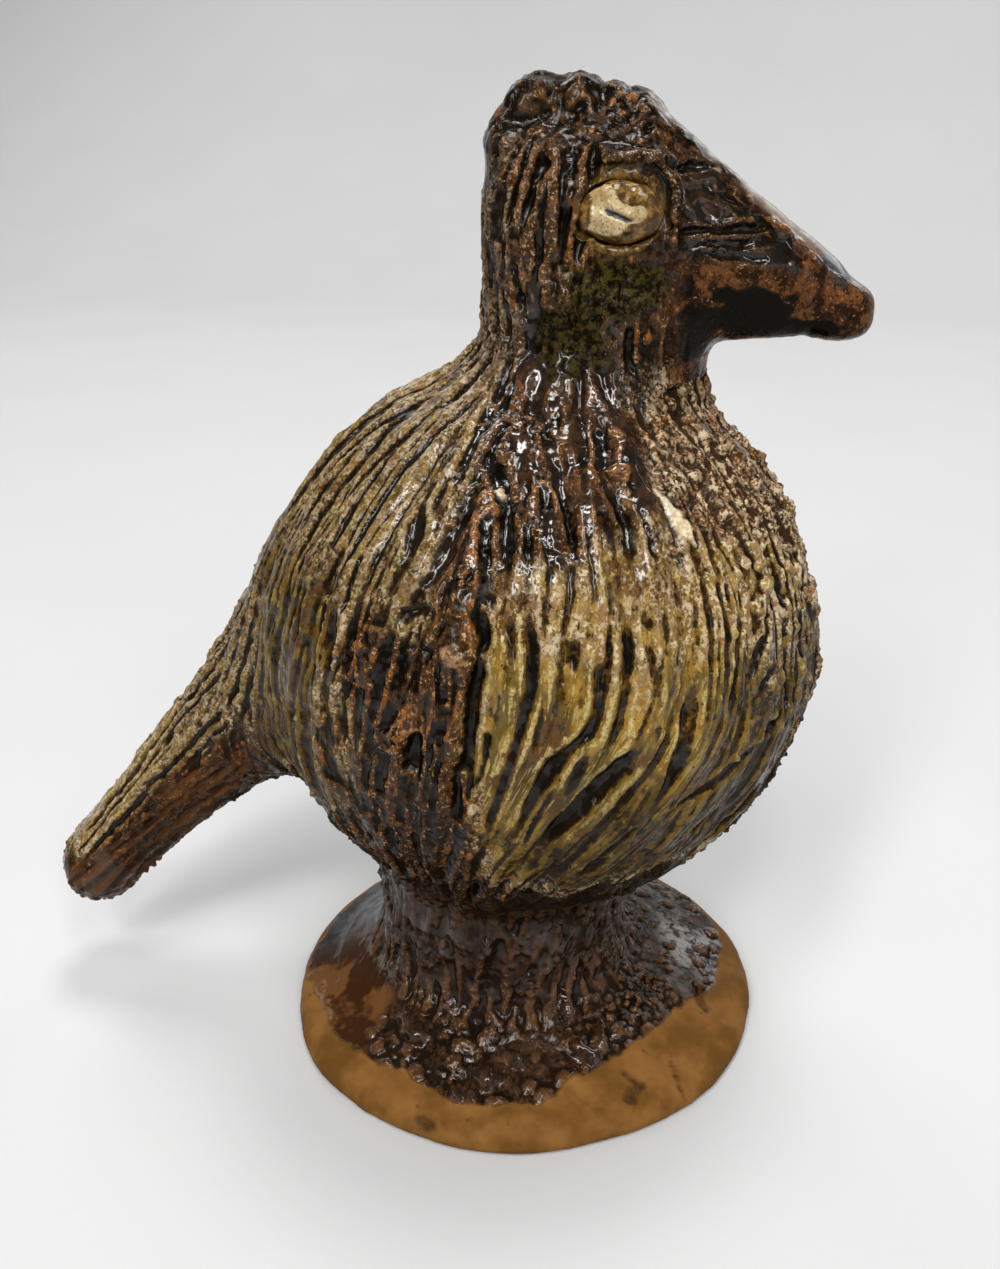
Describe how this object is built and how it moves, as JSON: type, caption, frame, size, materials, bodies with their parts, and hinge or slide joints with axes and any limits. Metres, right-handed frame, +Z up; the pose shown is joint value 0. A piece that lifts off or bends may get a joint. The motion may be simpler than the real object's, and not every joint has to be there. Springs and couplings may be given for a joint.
{
  "type": "pottery chicken",
  "caption": "Hollow pottery chicken on a pedestal foot, with combed clay plumage, a wedge beak, a low comb and a drooping bar tail.",
  "frame": {"origin": "centre of the base disc's flat underside, where the bird stands on a table", "axes": "+X where the beak points, +Y the bird's left, +Z up"},
  "size_m": [0.0966, 0.0646, 0.1126],
  "materials": {
    "bare_rim": "satin",
    "dark_glaze": "gloss",
    "olive_glaze": "gloss",
    "brown_glaze": "gloss",
    "beak_glaze": "gloss",
    "eye_glaze": "gloss"
  },
  "bodies": {
    "root": {"base_disc": "bare_rim", "pedestal_stem": "dark_glaze", "body_lower_bowl": "olive_glaze", "body_upper_bowl": "olive_glaze", "neck": "brown_glaze", "head": "brown_glaze", "beak": "beak_glaze", "comb": "brown_glaze", "eye_right": "eye_glaze", "eye_left": "eye_glaze", "tail": "brown_glaze"}
  },
  "joints": []
}
